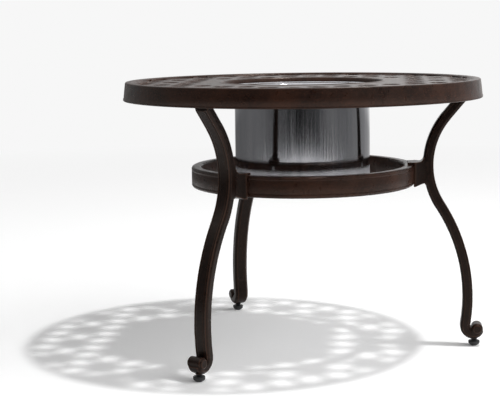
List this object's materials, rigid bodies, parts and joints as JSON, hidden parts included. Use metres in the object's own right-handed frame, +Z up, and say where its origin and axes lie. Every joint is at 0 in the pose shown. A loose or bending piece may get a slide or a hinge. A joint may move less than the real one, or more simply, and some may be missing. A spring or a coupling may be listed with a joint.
{
  "type": "coffee table with ice bucket",
  "caption": "Round pierced cast-metal coffee table on cabriole legs with a stretcher ring, screw glides and a lift-out polished ice bucket seated in its top.",
  "frame": {"origin": "on the floor, on the table's upright axis", "axes": "+Z up; +X along the radius of leg_1; leg_2 is at 120 degrees and leg_3 at 240 degrees, counter-clockwise seen from above"},
  "size_m": [0.7569, 0.75, 0.568],
  "materials": {
    "bronze_casting": "cast, powder-coated dark bronze with a fine speckle",
    "polished_steel": "polished stainless sheet",
    "zinc_steel": "zinc plated",
    "black_zinc": "black zinc plated",
    "black_nylon": "moulded, fine grain"
  },
  "bodies": {
    "frame": {"table_top": "bronze_casting", "stretcher_ring": "bronze_casting", "leg_1": "bronze_casting", "leg_2": "bronze_casting", "leg_3": "bronze_casting", "leg_bolts_1": "zinc_steel", "leg_bolts_2": "zinc_steel", "leg_bolts_3": "zinc_steel", "leg_washers_1": "zinc_steel", "leg_washers_2": "zinc_steel", "leg_washers_3": "zinc_steel", "ring_bolts_1": "zinc_steel", "ring_bolts_2": "zinc_steel", "ring_bolts_3": "zinc_steel", "ring_washers_1": "zinc_steel", "ring_washers_2": "zinc_steel", "ring_washers_3": "zinc_steel", "foot_insert_1": "black_zinc", "foot_insert_2": "black_zinc", "foot_insert_3": "black_zinc"},
    "bucket": {"ice_bucket": "polished_steel"},
    "pad_1": {"glide_pad_1": "black_nylon"},
    "stem_1": {"glide_stem_1": "black_zinc"},
    "pad_2": {"glide_pad_2": "black_nylon"},
    "stem_2": {"glide_stem_2": "black_zinc"},
    "pad_3": {"glide_pad_3": "black_nylon"},
    "stem_3": {"glide_stem_3": "black_zinc"}
  },
  "joints": [
    {"name": "bucket_lift", "type": "slide", "parent": "frame", "child": "bucket", "axis": [0, 0, 1], "range_m": [0, 0.25]},
    {"name": "glide_travel_1", "type": "slide", "parent": "frame", "child": "pad_1", "axis": [0, 0, -1], "range_m": [0, 0.0075]},
    {"name": "glide_turn_1", "type": "hinge", "parent": "pad_1", "child": "stem_1", "pos_m": [0.36277, 0, 0], "axis": [0, 0, -1], "range_deg": [0, 2160]},
    {"name": "glide_travel_2", "type": "slide", "parent": "frame", "child": "pad_2", "axis": [0, 0, -1], "range_m": [0, 0.0075]},
    {"name": "glide_turn_2", "type": "hinge", "parent": "pad_2", "child": "stem_2", "pos_m": [-0.18139, 0.31417, 0], "axis": [0, 0, -1], "range_deg": [0, 2160]},
    {"name": "glide_travel_3", "type": "slide", "parent": "frame", "child": "pad_3", "axis": [0, 0, -1], "range_m": [0, 0.0075]},
    {"name": "glide_turn_3", "type": "hinge", "parent": "pad_3", "child": "stem_3", "pos_m": [-0.18139, -0.31417, 0], "axis": [0, 0, -1], "range_deg": [0, 2160]}
  ],
  "couplings": [
    {"joint": "glide_turn_1", "follows": "glide_travel_1", "rad_per_m": 5026.5},
    {"joint": "glide_turn_2", "follows": "glide_travel_2", "rad_per_m": 5026.5},
    {"joint": "glide_turn_3", "follows": "glide_travel_3", "rad_per_m": 5026.5}
  ]
}
